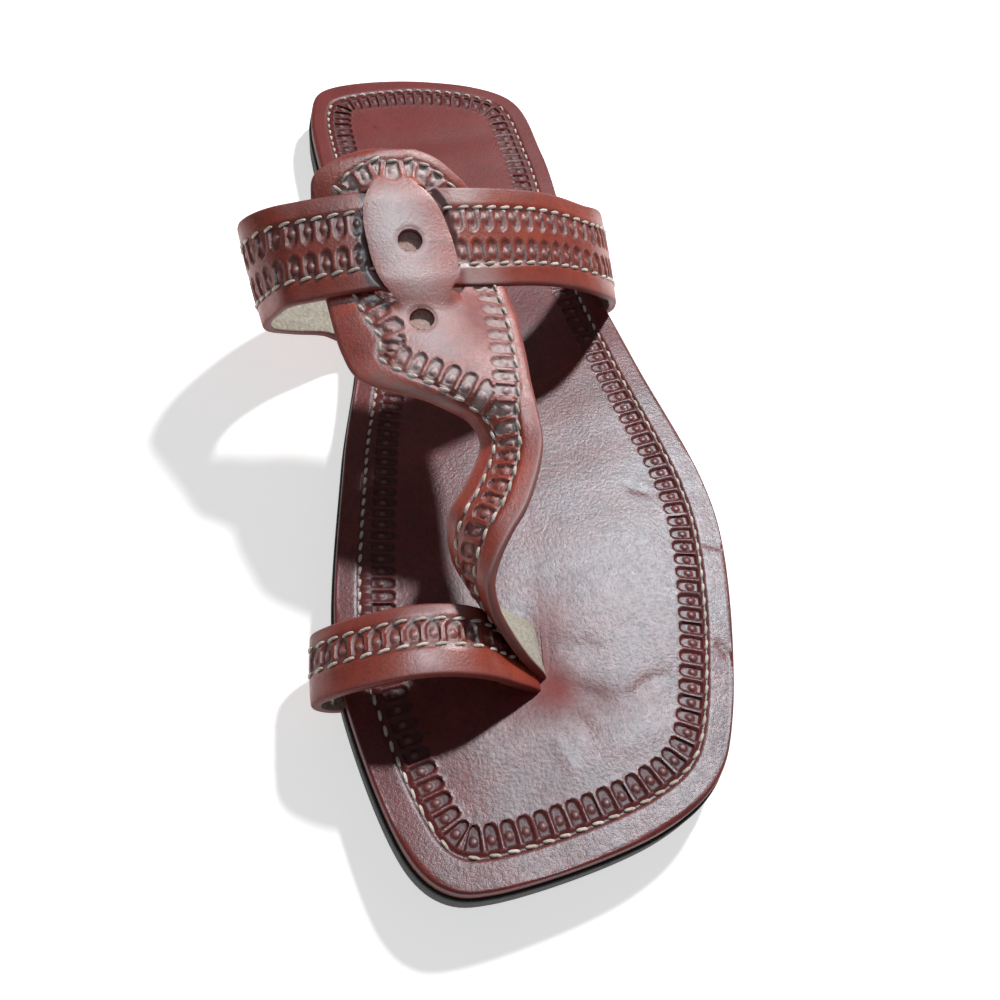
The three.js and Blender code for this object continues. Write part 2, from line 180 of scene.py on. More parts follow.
def put_mesh(name, points, quads, others=()):
    """Closed mesh object from points in the tables' millimetres. Where the volume inside, summed over fans of each
    face, comes out negative, every face is turned round, so that all of them point outwards."""
    sides = np.concatenate([np.full(len(quads), 4), [len(face) for face in others]]).astype(np.int32)
    corners = np.concatenate([quads.ravel(), *others]).astype(np.int32)
    starts = np.concatenate([[0], np.cumsum(sides)[:-1]]).astype(np.int32)
    a, b, c, d = (points[quads[:, k]] for k in range(4))
    volume = np.einsum("ij,ij->", a, np.cross(b, c)) + np.einsum("ij,ij->", a, np.cross(c, d))
    for face in others:
        fan = points[face]
        volume += np.einsum("ij,ij->", np.broadcast_to(fan[0], fan[1:-1].shape), np.cross(fan[1:-1], fan[2:]))
    if volume < 0:
        ends = starts + sides - 1
        corners = corners[np.repeat(starts + ends, sides) - np.arange(len(corners))]
    mesh = bpy.data.meshes.new(name)
    mesh.vertices.add(len(points))
    mesh.vertices.foreach_set("co", ((points + SHOE_ORIGIN) * MM).astype(np.float32).ravel())
    mesh.loops.add(len(corners))
    mesh.loops.foreach_set("vertex_index", corners)
    mesh.polygons.add(len(sides))
    mesh.polygons.foreach_set("loop_start", starts)
    mesh.update(calc_edges=True)
    mesh.shade_smooth()
    mesh.set_sharp_from_angle(angle=SHARP_EDGE)
    return new_object(name, mesh)


def paint_points(piece, **shares):
    """Stores a number at every vertex under each name, for the piece's material to read."""
    for name, values in shares.items():
        piece.data.attributes.new(name, "FLOAT", "POINT").data.foreach_set("value", np.asarray(values, np.float32))


class Shade:
    """A socket of a material's node tree. Arithmetic on it adds Math nodes, and node() adds any other node."""

    def __init__(self, tree, socket=None):
        self.tree, self.socket = tree, socket

    def node(self, kind, settings=None, sockets=None, output=0):
        made = self.tree.nodes.new(kind)
        for name, value in (settings or {}).items():
            setattr(made, name, value)
        for name, value in (sockets or {}).items():
            if isinstance(value, Shade):
                self.tree.links.new(value.socket, made.inputs[name])
            else:
                made.inputs[name].default_value = value
        return Shade(self.tree, made.outputs[output])

    def math(self, operation, first, second=0.0):
        return self.node("ShaderNodeMath", {"operation": operation}, {0: first, 1: second})

    def __add__(self, other):
        return self.math("ADD", self, other)

    def __sub__(self, other):
        return self.math("SUBTRACT", self, other)

    def __mul__(self, other):
        return self.math("MULTIPLY", self, other)

    def __rsub__(self, other):
        return self.math("SUBTRACT", other, self)

    __radd__, __rmul__ = __add__, __mul__

    def ramp(self, low, high):
        return self.node("ShaderNodeMapRange", {"interpolation_type": "SMOOTHSTEP"}, {0: self, 1: low, 2: high})

    def tint(self, base, other):
        return self.node("ShaderNodeMix", {"data_type": "RGBA"}, {0: self, 6: base, 7: other}, 2)

    def place(self, stretch=(1.0, 1.0, 1.0)):
        seen = self.node("ShaderNodeTexCoord", output=3)
        return self.node("ShaderNodeMapping", {}, {"Vector": seen, "Scale": stretch})

    def noise(self, scale, detail=3.0, rough=0.55, where=None):
        return self.node("ShaderNodeTexNoise", {}, {"Vector": where or self.place(), "Scale": scale, "Detail": detail,
                                                    "Roughness": rough})

    def bump(self, strength, distance, **others):
        return self.node("ShaderNodeBump", {}, {"Strength": strength, "Distance": distance, "Height": self, **others})

    def share(self, name):
        return self.node("ShaderNodeAttribute", {"attribute_name": name}, output=2)


def new_finish(name):
    """A material, a Shade on its empty tree, and a function that sets or links its Principled shader's sockets."""
    finish = bpy.data.materials.new(name)
    finish.use_nodes = True
    shader = finish.node_tree.nodes["Principled BSDF"]

    def feed(sockets):
        for socket, value in sockets.items():
            if isinstance(value, Shade):
                finish.node_tree.links.new(value.socket, shader.inputs[socket])
            else:
                shader.inputs[socket].default_value = value

    return finish, Shade(finish.node_tree), feed


def linear(red, green, blue):
    """Colour of 0 to 255 screen values as the linear values that a shader takes."""
    c = np.array([red, green, blue]) / 255
    return (*np.where(c <= 0.04045, c / 12.92, ((c + 0.055) / 1.055) ** 2.4), 1.0)


edge, square_in = sole_edge(OUTSOLE_ROUND)[:2]
outsole_low, outsole_high = (np.array(corner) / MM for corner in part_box("outsole"))
SHOE_ORIGIN = np.append(((outsole_low + outsole_high) / 2)[:2] - (edge.min(0) + edge.max(0)) / 2, FOOTBED_TOP)


def arch_hollow(y):
    """Hollow under the waist: a sine squared between the flat forefoot and the flat heel."""
    return ARCH_RISE * np.sin(pi * np.clip((y - ARCH_FRONT_Y) / (ARCH_BACK_Y - ARCH_FRONT_Y), 0, 1)) ** 2


def outsole_points():
    """Rings from the middle of the tread out to its edge, up the side and in under the footbed. Each is the outline
    moved in by an inset, or drawn part of the way to the spine, at a height that follows the arch and the toe."""
    def ring(inset, height, arch, inner=0.0):
        flat = drawn_in(edge + square_in * inset, [inner])[0]
        y = flat[:, 1]
        return np.column_stack([flat, height - FOOTBED_TOP + toe_spring(y) + arch * arch_hollow(y)])
    rows = [ring(TREAD_CHAMFER, 0, 1, inner) for inner in (0.95, 0.8, 0.6, 0.4, 0.2, 0.07, 0)]
    rows += [ring(0.3, 0.25, 1), ring(0, TREAD_CHAMFER, 1), ring(0, 3, 0.6), ring(0, 5.2, 0.3), ring(0, 7.3, 0)]
    rows += [ring(0.15, 7.8, 0), ring(WELT_CHAMFER, OUTSOLE_THICK, 0)]
    rows += [ring(UNDER_FOOTBED_IN, OUTSOLE_THICK, 0, inner) for inner in (0, 0.3, 0.6, 0.95)]
    return np.array(rows)


rings = outsole_points()
last = (len(rings) - 1) * OUTSOLE_ROUND
outsole = put_mesh("outsole_rubber", rings.reshape(-1, 3), ring_stack(0, len(rings), OUTSOLE_ROUND),
                   [np.arange(OUTSOLE_ROUND)[::-1], last + np.arange(OUTSOLE_ROUND)])

rubber, shade, feed = new_finish("black_rubber")
buffed = shade.noise(420, 4, 0.6, shade.place((1.0, 1.0, 0.25)))
specks = shade.noise(1500, 2)
dusty = (buffed * 0.7 + specks * 0.3).ramp(0.52, 0.75)
feed({"Base Color": (dusty * 0.5).tint(linear(16, 15, 14), linear(58, 50, 45)),
      "Roughness": 0.58 + 0.25 * dusty,
      "Normal": (buffed + 0.4 * specks).bump(0.5, 0.0004)})
outsole.data.materials.append(rubber)
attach(outsole, "root")
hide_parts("outsole")

# Footbed: one thickness of dyed, polished cow leather on the outsole, its top edge rounded and burnished.
# A row of tombstone stamps is hammered in round it beside the stitching, and the leather puckers at the toe post.

FOOTBED_THICK = 4.2
FOOTBED_EDGE_ROUND = 0.8
FOOTBED_ROUND = 1500
FULL_PITCH = 3.8
STAMP_WIDE = 3.0
STAMP_LENGTH = 6.1
STAMP_DEPTH = 0.5
BEAD_HIGH = 0.42
GROOVE_DEPTH = 0.45
GROOVE_ROWS = (-1.3, -0.9, -0.45, 0, 0.45)
POST = np.array([3.2, -80.5])

# Creases in the footbed, one by one: x, y at both ends, half width, depth (a ridge where negative).
CREASES = np.array([
    (35, -88.7, 28, -90.4, 1.2, 0.2), (29.5, -90, 23, -94.7, 1.3, 0.22), (4, -89, 20, -94.5, 3, 0.35),
    (3, -91, -9, -96, 2.6, 0.22), (4.4, -102, 7.8, -111, 1.6, -0.1), (9, -95, 14, -103, 2, 0.16),
    (8, -79, 20, -81, 2.6, 0.14), (35, -34.5, 41.5, -37.2, 1.2, 0.22), (50, -52, 61, -56, 1.4, 0.2),
    (49.5, -81, 52.5, -87, 1.2, 0.2), (40, -30, 57, -40, 3, 0.12), (12, -106, 36, -100, 4, -0.16),
    (-22, -112, 2, -101, 4, -0.16), (-30, 100, 20, 108, 4, 0.12), (-20, 60, 25, 66, 4, 0.12)])

# Where the foot has rubbed the footbed red round the toe post, and last a painted shade beside the front strap: x, y,
# reach both ways and share.
RUBBED_AND_SHADED = ((6, -89, 5, 5, 0.75), (5, -94, 16, 6, 0.4), (8, -74, 5, 9, 0.25))


def bell(*offsets):
    """Bell curve: e to the power of minus the sum of the offsets' squares."""
    return np.exp(-sum(offset**2 for offset in offsets))


def tombstones(along, inward, pitch, length, fill):
    """Height, darkened share and bead of a row of stamps. Each is a flat-bottomed tombstone whose flat end is at inward
    0 and round end at its length, one to a pitch, with a lip pushed up round it and a round bead left standing in it.
    The fill is how dark its bottom is."""
    cell = (along / pitch - np.floor(along / pitch) - 0.5) * pitch
    half = STAMP_WIDE / 2
    beyond = np.maximum(inward - (length - half), 0)
    inside = np.minimum(half - np.hypot(cell, beyond), inward)
    pressed = ease(-0.06, 0.32, inside)
    bead = np.sqrt(np.clip(1 - (cell / 0.95) ** 2 - ((inward - 0.42 * length) / 1.05) ** 2, 0, 1))
    lip, wall = 0.1 * bell((inside + 0.15) / 0.3), bell((inside - 0.1) / 0.22)
    height = lip - STAMP_DEPTH * pressed + BEAD_HIGH * bead * pressed
    # The darkened share is partly the pressed leather's own darker tone and partly painted shade: the walls are painted
    # darkest, as shade in the recess, and the fill paints the bottoms' shade.
    return height, np.clip(fill * pressed + 0.7 * wall, 0, 1) * (1 - 0.6 * bead), bead * pressed


def seam_groove(offset):
    """Bell-shaped groove under a line of stitches, 1 at its bottom."""
    return bell(offset / 0.6)


def spots(table, u, v):
    """Sum of soft spots: each a bell round its own middle with its own reach both ways, times its share."""
    return sum(share * bell((u - at_u) / reach_u, (v - at_v) / reach_v)
               for at_u, at_v, reach_u, reach_v, share in table)


def crease_depth(x, y):
    """Sum of the listed creases: each a bell across its line that fades out towards both its ends."""
    start, end = CREASES[:, 0:2], CREASES[:, 2:4]
    line = end - start
    length = np.linalg.norm(line, axis=1)
    offset = np.stack([x, y], -1)[:, None] - start
    t = dot(offset, line) / length**2
    side = (offset[..., 0] * line[:, 1] - offset[..., 1] * line[:, 0]) / length
    fold = bell(side / CREASES[:, 4]) * bell(np.maximum(np.abs(t - 0.5) - 0.2, 0) / 0.3)
    return (fold * CREASES[:, 5]).sum(1)


def footbed_height(x, y):
    """Top of the footbed apart from its stamps: the toe spring, long low waves, creases, and the dent at the post."""
    wave = (0.16 * np.sin(x / 11 + y / 23 + 1) * np.sin(y / 17 - x / 29)
            + 0.07 * np.sin(x / 4.6 - y / 7.1) * np.sin(y / 5.3 + x / 9))
    dent = 0.7 * bell((x - POST[0]) / 4.5, (y - POST[1]) / 10)
    return toe_spring(y) + wave - crease_depth(x, y) - dent


edge, square_in, soft_in, margin, gap, pitch = sole_edge(FOOTBED_ROUND)
stamp_line = edge + soft_in * (margin + gap + STAMP_LENGTH / 2)[:, None]
around = np.append(0, np.cumsum(np.diff(run_along(looped(stamp_line))) / pitch))
footbed_stamps = int(round(around[-1]))
around *= footbed_stamps / around[-1]
side_rows = [(0.0, -FOOTBED_THICK), (0.0, -3.2), (0.0, -2.2), (0.0, -FOOTBED_EDGE_ROUND)]
side_rows += [(FOOTBED_EDGE_ROUND * (1 - cos(a)), -FOOTBED_EDGE_ROUND * (1 - sin(a)))
              for a in np.radians((22, 45, 68))]
inner_rows = [np.full(FOOTBED_ROUND, depth) for depth in GROOVE_ROWS]
inner_rows += [gap + reach for reach in np.linspace(0, STAMP_LENGTH + 0.8, 19)]


def footbed_points():
    """Rings up the side, round the edge and over the top as far as the stamped row's inner end. On top a ring is either
    a share of the way from the rounded edge to the stitch line, or a distance inside that line."""
    rows = []
    for inset, height in side_rows:
        flat = edge + square_in * (OUTSOLE_LEDGE + inset)
        rows.append((flat, height + toe_spring(flat[:, 1]), np.full(FOOTBED_ROUND, -20.0)))
    round_in = OUTSOLE_LEDGE + FOOTBED_EDGE_ROUND
    for share in np.linspace(0, 1, 9)[:-1] ** 0.9:
        reach = round_in + share * (margin + GROOVE_ROWS[0] - round_in)
        flat = edge + unit(square_in * (1 - share) + soft_in * share) * reach[:, None]
        rows.append((flat, footbed_height(*flat.T), reach - margin))
    for depth in inner_rows:
        flat = edge + soft_in * (margin + depth)[:, None]
        rows.append((flat, footbed_height(*flat.T), depth))
    flat, height, inward = (np.array(column) for column in zip(*rows))
    # Painted shade: the stamps' bottoms are painted darker everywhere except along the outer side behind the toe, where
    # they lie in the light.
    fill = 0.65 - 0.5 * ease(15, 42, flat[..., 0]) * ease(-112, -88, flat[..., 1])
    along = np.broadcast_to(around[:-1] * FULL_PITCH, inward.shape)
    relief, pressed, bead = tombstones(along, inward - gap, FULL_PITCH, STAMP_LENGTH, fill)
    groove = seam_groove(inward)
    return np.dstack([flat, height + relief * (inward > -6) - GROOVE_DEPTH * groove]), pressed, groove, bead


fine, pressed, groove, bead = footbed_points()
coarse = FOOTBED_ROUND // 3
middle = drawn_in(fine[-1, ::3, :2], np.linspace(0.03, 0.97, 44))
middle = np.dstack([middle, footbed_height(*middle.reshape(-1, 2).T).reshape(middle.shape[:2])])
under = drawn_in(fine[0, ::3, :2], (0.3, 0.6, 0.95))
under = np.dstack([under, toe_spring(under[..., 1]) - FOOTBED_THICK])
points = np.vstack([fine.reshape(-1, 3), middle.reshape(-1, 3), under.reshape(-1, 3)])
first_middle = len(fine) * FOOTBED_ROUND
first_under = first_middle + len(middle) * coarse
quads = np.vstack([ring_stack(0, len(fine), FOOTBED_ROUND), ring_stack(first_middle, len(middle), coarse),
                   ring_stack(first_under, len(under), coarse)[:, ::-1]])


def step_down(fine_start, coarse_start, turn):
    """Six-sided faces from a fine ring to one with a third of its points: four fine corners and two coarse ones."""
    k = np.arange(coarse)
    fine_corners = fine_start + (3 * k[:, None] + np.arange(4)) % FOOTBED_ROUND
    faces = np.column_stack([fine_corners, coarse_start + (k + 1) % coarse, coarse_start + k])
    return list(faces[:, ::-1] if turn else faces)


others = step_down((len(fine) - 1) * FOOTBED_ROUND, first_middle, False) + step_down(0, first_under, True)
others += [first_under - coarse + np.arange(coarse), len(points) - coarse + np.arange(coarse)[::-1]]
footbed = put_mesh("footbed_leather", points, quads, others)
side = np.zeros(fine.shape[:2])
side[:len(side_rows)] = np.array([1, 1, 1, 0.9, 0.5, 0.2, 0])[:, None]
x, y = points[:, 0], points[:, 1]
with_plain = lambda values: np.concatenate([values.ravel(), np.zeros(len(points) - values.size)])
# The beads' pale tops (worn) are painted highlights, and the last of the rubbed spots, beside the front strap, is
# painted shade.
paint_points(footbed, pressed=with_plain(pressed), side=with_plain(side), groove=with_plain(groove), flesh=0 * x,
             rubbed=spots(RUBBED_AND_SHADED, x, y) + 0.4 * ease(40, 80, y), worn=with_plain(0.25 * bead**3))


def dyed_leather(name, dye, deep, warm, sheen, shine, tint, grain_size, grain_deep, lean=(0.0, 0.0, 0.0)):
    """Dyed and polished leather: a base dye clouded by two sizes of noise, near-black in the stamps and grooves, in
    part as painted shade, redder where it is rubbed and in painted shade, greyed where it is worn and where highlights
    are painted, dark on cut edges and pale on its flesh side, with its grain as bump.
    The lean is added to the normal, for a surface that tilts a few degrees under the foot."""
    finish, shade, feed = new_finish(name)
    cloud, mottle, grain = shade.noise(75, 4, 0.6), shade.noise(420, 3, 0.6), shade.noise(1 / grain_size, 4, 0.65)
    stamped, groove, rubbed = shade.share("pressed"), shade.share("groove"), shade.share("rubbed")
    side, flesh, worn = shade.share("side"), shade.share("flesh"), shade.share("worn")
    colour = cloud.ramp(0.3, 0.7).tint(dye, warm)
    colour = ((0.35 * mottle + 0.65 * grain).ramp(0.42, 0.66) * 0.45).tint(colour, deep)
    # Painted light: the rubbed share also carries painted shade, the pressed share carries the stamps' painted shade,
    # and the worn share carries painted highlights.
    colour = (rubbed * (0.6 + 0.6 * mottle)).tint(colour, linear(132, 36, 26))
    colour = (stamped * 0.8).tint(colour, deep)
    colour = (groove * 0.5).tint(colour, deep)
    colour = (worn * (0.3 + 0.6 * mottle + 0.6 * grain)).tint(colour, linear(188, 165, 164))
    colour = (side * (0.75 + 0.25 * mottle)).tint(colour, linear(112, 44, 36))
    fuzz = shade.noise(900, 4, 0.7)
    colour = flesh.tint(colour, fuzz.ramp(0.3, 0.75).tint(linear(150, 141, 127), linear(190, 186, 175)))
    gloss = sheen + 0.1 * (mottle - 0.5) + 0.15 * (grain - 0.5) + 0.3 * rubbed + 0.18 * stamped + 0.1 * side
    height = 1.2 * grain + 0.6 * mottle + flesh * fuzz * 2.0
    facing = shade.node("ShaderNodeNewGeometry", output=1)
    facing = shade.node("ShaderNodeVectorMath", {"operation": "ADD"}, {0: facing, 1: lean})
    facing = shade.node("ShaderNodeVectorMath", {"operation": "NORMALIZE"}, {0: facing})
    feed({"Base Color": colour, "Roughness": gloss + flesh * (0.9 - sheen), "Specular IOR Level": shine,
          "Specular Tint": tint, "Normal": height.bump(grain_deep, 0.25 * grain_size, Normal=facing)})
    return finish


footbed.data.materials.append(dyed_leather(
    "footbed_polished_leather", linear(105, 38, 36), linear(54, 18, 16), linear(124, 46, 42), 0.36, 0.54,
    (0.7, 0.91, 1.0, 1.0), 0.0009, 0.36, (0.037, 0.107, 0.0)))
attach(footbed, "root")
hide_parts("footbed")

# Footbed stitching: waxed off-white linen thread, one stitch to each stamp, sunk in a groove at the stamps' flat ends.
# It holds the footbed to the sole's welt all the way round.

THREAD_RADIUS = 0.37
STITCH_SHARE = 0.7


def thread_stitches(name, places, ahead, up, length, slant):
    """Joined stitches: each a round thread whose radius falls to nothing at both ends as a fourth-power arch, bowed up
    in its middle, turned by the slant about the leather's normal at its own place."""
    a = np.array([-1, -0.86, -0.5, 0, 0.5, 0.86, 1.0])
    b = np.arange(6) * pi / 3
    radius = THREAD_RADIUS * np.maximum(1 - a**4, 0.12) ** 0.5
    lift = 0.34 * (1 - a**2) - 0.12
    side = np.cross(up, ahead)
    turned = unit(ahead * cos(slant) + side * sin(slant))
    side = np.cross(up, turned)
    reach = np.broadcast_to(length, len(places))[:, None] * a / 2
    ring = (places[:, None, None] + turned[:, None, None] * reach[..., None, None]
            + side[:, None, None] * (radius[:, None] * np.cos(b))[..., None] * 1.15
            + up[:, None, None] * (lift[:, None] + radius[:, None] * np.sin(b))[..., None])
    sides, each = len(b), len(a) * len(b)
    first = each * np.arange(len(places))[:, None]
    quads = (ring_stack(0, len(a), sides)[None] + first[..., None]).reshape(-1, 4)
    caps = np.vstack([np.arange(sides)[::-1] + first, np.arange(each - sides, each) + first])
    return put_mesh(name, ring.reshape(-1, 3), quads, list(caps))


def waxed_thread():
    """Off-white thread: greyed in patches by handling, with a fine fibre bump."""
    finish, shade, feed = new_finish("waxed_linen_thread")
    worn, fibre = shade.noise(160, 3), shade.noise(2600, 2)
    colour = worn.ramp(0.35, 0.7).tint(linear(196, 184, 172), linear(232, 226, 218))
    feed({"Base Color": (fibre.ramp(0.5, 0.8) * 0.4).tint(colour, linear(150, 120, 100)),
          "Roughness": 0.55 + 0.2 * fibre, "Normal": fibre.bump(0.4, 0.0002)})
    return finish


thread = waxed_thread()
line, marks = looped(edge + soft_in * margin[:, None]), np.arange(FOOTBED_ROUND + 1)
at = np.interp(np.arange(footbed_stamps) + 0.5, around, marks)
pick, after = along_path(line, marks, at), along_path(line, marks, (at + 2) % FOOTBED_ROUND)
places = np.column_stack([pick, footbed_height(*pick.T) - 0.25])
heading = unit(np.column_stack([after - pick, toe_spring(after[:, 1]) - toe_spring(pick[:, 1])]))
up = unit(np.cross(np.cross(heading, np.array([0, 0, 1.0])), heading))
stitch_length = STITCH_SHARE * np.interp(at, np.arange(FOOTBED_ROUND), pitch)
footbed_stitching = thread_stitches("footbed_stitching", places, heading, up, stitch_length, radians(-9))
footbed_stitching.data.materials.append(thread)
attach(footbed_stitching, "root")

# Instep strap: a 26 mm band of dyed leather that comes out of a pocket in the sole's outer side, arches over the foot,
# runs through the two slits of the front strap and goes down to its inner pocket. Two rows of stamps face each other.

STRAP_THICK = 2.4
STAMP_PITCH = 4.15
CROSS_WIDTH = 26.0
END_GAP = 0.8
STRAP_STEP = 0.42
CROSS_LINE = CROSS_WIDTH / 2 - 5.5
STRAP_FILL = 0.45
STRAP_GROOVE = 0.35
STRAP_STITCH = 0.72
STRAP_TINT = (0.9, 0.97, 1.0, 1.0)
BRIDGE_FROM, BRIDGE_TO = 98.6, 121.0
BRIDGE_DIP = 1.3

# Middle line of the instep strap x, y, z, and the turn (yaw) and rise (lift) of its front-to-back line in degrees.
CROSS_STRAP = np.array([
    (30, 46.4, -5.75, 3, 0), (36.5, 46.1, -5.75, 3, 0), (40.6, 45.8, -4.9, 0, 3), (42.7, 45, -1.6, -8, 10),
    (42.6, 43, 4.2, -7, 15), (39, 36, 15, 0, 14), (31.8, 27.5, 25.5, 1, 16), (20.6, 23.5, 33.1, 2, 17),
    (10.6, 20, 38, 3, 18), (-7.5, 14.7, 43.1, 4, 20), (-20, 13, 44.4, 0, 19.5), (-32.9, 12.9, 43.2, -6, 18),
    (-46.8, 14, 39, -7, 21), (-54, 15, 35.8, -10, 21), (-60.2, 18.6, 27.5, -15, 32), (-60.6, 24, 17.5, -13, 31),
    (-54.5, 29.6, 8.8, -8, 18), (-45, 33.8, 1.2, -5, 5), (-39, 34.8, -4.2, -4.5, 1), (-33, 35, -5.75, -4.5, 0),
    (-26, 35, -5.75, -4.5, 0)])


def band_frame(rows, turn):
    """Even steps along a strap: distance, middle point, direction along, direction from front edge to back edge, and
    the dyed side's normal, which is along x across times the turn."""
    share = np.linspace(0, 1, 4001)
    place = lambda at: smooth_path(rows[:, :3], np.clip(at, 0, 1))
    run = run_along(place(share))
    reach = np.linspace(END_GAP, run[-1] - END_GAP, int(run[-1] / STRAP_STEP))
    share = np.interp(reach, run, share)
    angles = np.radians(smooth_path(np.column_stack([rows[:, 3:5], 0 * rows[:, 3]]), share))
    ahead = unit(place(share + 2e-4) - place(share - 2e-4))
    across = np.column_stack([np.sin(angles[:, 0]), np.cos(angles[:, 0]), np.tan(angles[:, 1])])
    across = unit(across - dot(across, ahead)[:, None] * ahead)
    return reach, place(share), ahead, across, turn * np.cross(ahead, across)


def closed_sheet(name, top, bottom, kept=None):
    """Leather between two grids of points: both grids' kept cells, and walls along every edge between a kept cell and
    one that isn't kept or doesn't exist."""
    rows, columns = top.shape[:2]
    kept = np.ones((rows - 1, columns - 1), bool) if kept is None else kept
    under = rows * columns
    corner = np.arange(under).reshape(rows, columns)
    faces = np.stack([corner[:-1, :-1], corner[1:, :-1], corner[1:, 1:], corner[:-1, 1:]], -1)[kept]
    padded = np.pad(kept, 1)
    quads = [faces, faces[:, ::-1] + under]
    for before, here, start, end in ((padded[1:-1, :-1], padded[1:-1, 1:], corner[:-1], corner[1:]),
                                     (padded[1:, 1:-1], padded[:-1, 1:-1], corner[:, :-1], corner[:, 1:])):
        opens, closes = here & ~before, before & ~here
        quads.append(np.column_stack([end[opens], start[opens], start[opens] + under, end[opens] + under]))
        quads.append(np.column_stack([start[closes], end[closes], end[closes] + under, start[closes] + under]))
    return put_mesh(name, np.vstack([top.reshape(-1, 3), bottom.reshape(-1, 3)]), np.vstack(quads))


def cut_edge(distance, half):
    """Half thickness near a cut edge: a quarter round of 0.7 mm that takes off a third of it."""
    t = np.clip(distance / 0.7, 0, 1)
    return half * (0.68 + 0.32 * np.sqrt(1 - (1 - t) ** 2))


def paint_leather(strap, from_edge, pressed, groove, worn, rubbed, whole=1.0):
    """Stores the shares that dyed leather reads, first for the dyed side, which is rubbed within 2 mm of its cut edges
    too, then for the flesh side, which shows as far as a cut edge or, where whole is 0, an opening."""
    from_edge = np.ravel(from_edge)
    below = np.clip(from_edge / 0.6, 0, 1) * whole
    both = lambda upper, lower=0 * from_edge: np.concatenate([np.ravel(upper), lower])
    paint_points(strap, pressed=both(pressed), groove=both(groove), worn=both(worn), flesh=both(0 * below, below),
                 rubbed=both(np.maximum(0.5 * bell(from_edge / 2), np.ravel(rubbed))),
                 side=both(np.clip(1 - from_edge / 0.5, 0, 1), 1 - below))


def level(s, w):
    """A dip, or a paler share, of nothing anywhere."""
    return 0 * s


def band_strap(name, rows, width, turn, relief, dip=level, worn=level):
    """Band of even width: front-to-back lines carried along the path, slightly crowned, with the relief on its dyed
    side. The relief gives height, pressed, groove and bead shares from the distance along and the distance across, the
    dip how far the band lies below its path, and worn where it is painted paler as highlight. Where the band dips it
    is painted dark red as shade."""
    reach, middle, ahead, across, out = band_frame(rows, turn)
    columns = int(width / STRAP_STEP) + 1
    v = width / 2 * np.sin(np.linspace(-1, 1, columns) * 1.35) / sin(1.35)
    s, w = np.meshgrid(reach, v, indexing="ij")
    height, pressed, groove, bead = relief(s, w, reach[-1])
    half = cut_edge(width / 2 - np.abs(w), STRAP_THICK / 2)
    crown = 0.35 * (1 - (2 * w / width) ** 2)
    sheet = middle[:, None] + across[:, None] * w[..., None] - out[:, None] * dip(s, w)[..., None]
    top = sheet + out[:, None] * (half + crown + height)[..., None]
    bottom = sheet - out[:, None] * (half - crown)[..., None]
    strap = closed_sheet(name, top, bottom)
    # Painted highlights: the beads' pale tops. Painted shade: dark red (rubbed) where the band dips under the bridge.
    paint_leather(strap, width / 2 - np.abs(w), pressed, groove, worn(s, w) + 0.35 * bead**3,
                  np.minimum(1.2 * dip(s, w), 1.3))
    return strap, (reach, middle, ahead, across, out)


def under_bridge(s, w, soft):
    """Share of the way under the front strap's bridge: 1 between the two bowed slits and 0 outside, over a soft step at
    each. The slits come together by 4 mm at the strap's edges, as the cube of the way out from its middle."""
    bow = 4 * np.abs(2 * w / CROSS_WIDTH) ** 3
    return ease(-soft, soft, s - BRIDGE_FROM - bow) * ease(-soft, soft, BRIDGE_TO - bow - s)


def bridge_dip(s, w):
    """The strap lies lower where it passes under the bridge."""
    return BRIDGE_DIP * under_bridge(s, w, 0.9)


def bend_highlight(s, w):
    """Painted highlight: paler where the plain margins bend down into the slits, and along them beside the outer slit.
    """
    bend = under_bridge(s, w, 2.2)
    margin_highlight = 0.65 * ease(84, 95, s) * (1 - ease(97, 99, s))
    return (2.6 * bend * (1 - bend) + margin_highlight) * ease(7.5, 9, np.abs(w))


def cross_relief(s, w, length):
    """Two rows of tombstones from the stitch lines towards the middle, faded out inside the pockets."""
    height, pressed, bead = tombstones(s, CROSS_LINE - 0.35 - np.abs(w), STAMP_PITCH, CROSS_LINE - 1.6, STRAP_FILL)
    hidden = under_bridge(s, w, 1.2)
    fade = ease(9, 11, s) * ease(9, 11, length - s) * (1 - hidden)
    groove = seam_groove(np.abs(w) - CROSS_LINE)
    height = height * (np.abs(w) < CROSS_LINE) - STRAP_GROOVE * groove
    # Under the bridge the stamps' darkened share is full: painted shade.
    return fade * height, np.maximum(fade * pressed, hidden), fade * groove, fade * bead


def strap_stitches(name, strap_frame, offsets, pitch, first, last, slant, dip=level):
    """Stitches along lines at given offsets from a strap's middle line, one to a pitch, lowered by the strap's dip."""
    reach, *directions = strap_frame
    at = np.arange(first, last, pitch)
    middle, ahead, across, out = (along_path(values, reach, at) for values in directions)
    ahead, across, out = unit(ahead), unit(across), unit(out)
    places = np.vstack([middle + across * offset + out * (STRAP_THICK / 2 + 0.12 - dip(at, offset))[:, None]
                        for offset in offsets])
    repeat = lambda values: np.vstack([values] * len(offsets))
    return thread_stitches(name, places, repeat(ahead), repeat(out), STRAP_STITCH * pitch, slant)


band_leather = dyed_leather(
    "band_polished_leather", linear(140, 54, 41), linear(62, 21, 17), linear(164, 68, 47), 0.35, 0.55,
    STRAP_TINT, 0.0007, 0.4)
cross_strap, cross_frame = band_strap("instep_strap", CROSS_STRAP, CROSS_WIDTH, -1, cross_relief, bridge_dip, bend_highlight)
cross_stitching = strap_stitches("instep_strap_stitching", cross_frame, (-CROSS_LINE, CROSS_LINE), STAMP_PITCH,
                                 12, cross_frame[0][-1] - 11, radians(10), bridge_dip)
cross_strap.data.materials.append(band_leather)
cross_stitching.data.materials.append(thread)
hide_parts("upper")
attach(cross_strap, "root")
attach(cross_stitching, "root")

# Toe loop: a 17 mm band of the same leather from a pocket in the inner side, over the big toe, to the post between the
# toes, where it goes down through the footbed beside the front strap. One row of stamps lies between two seams.

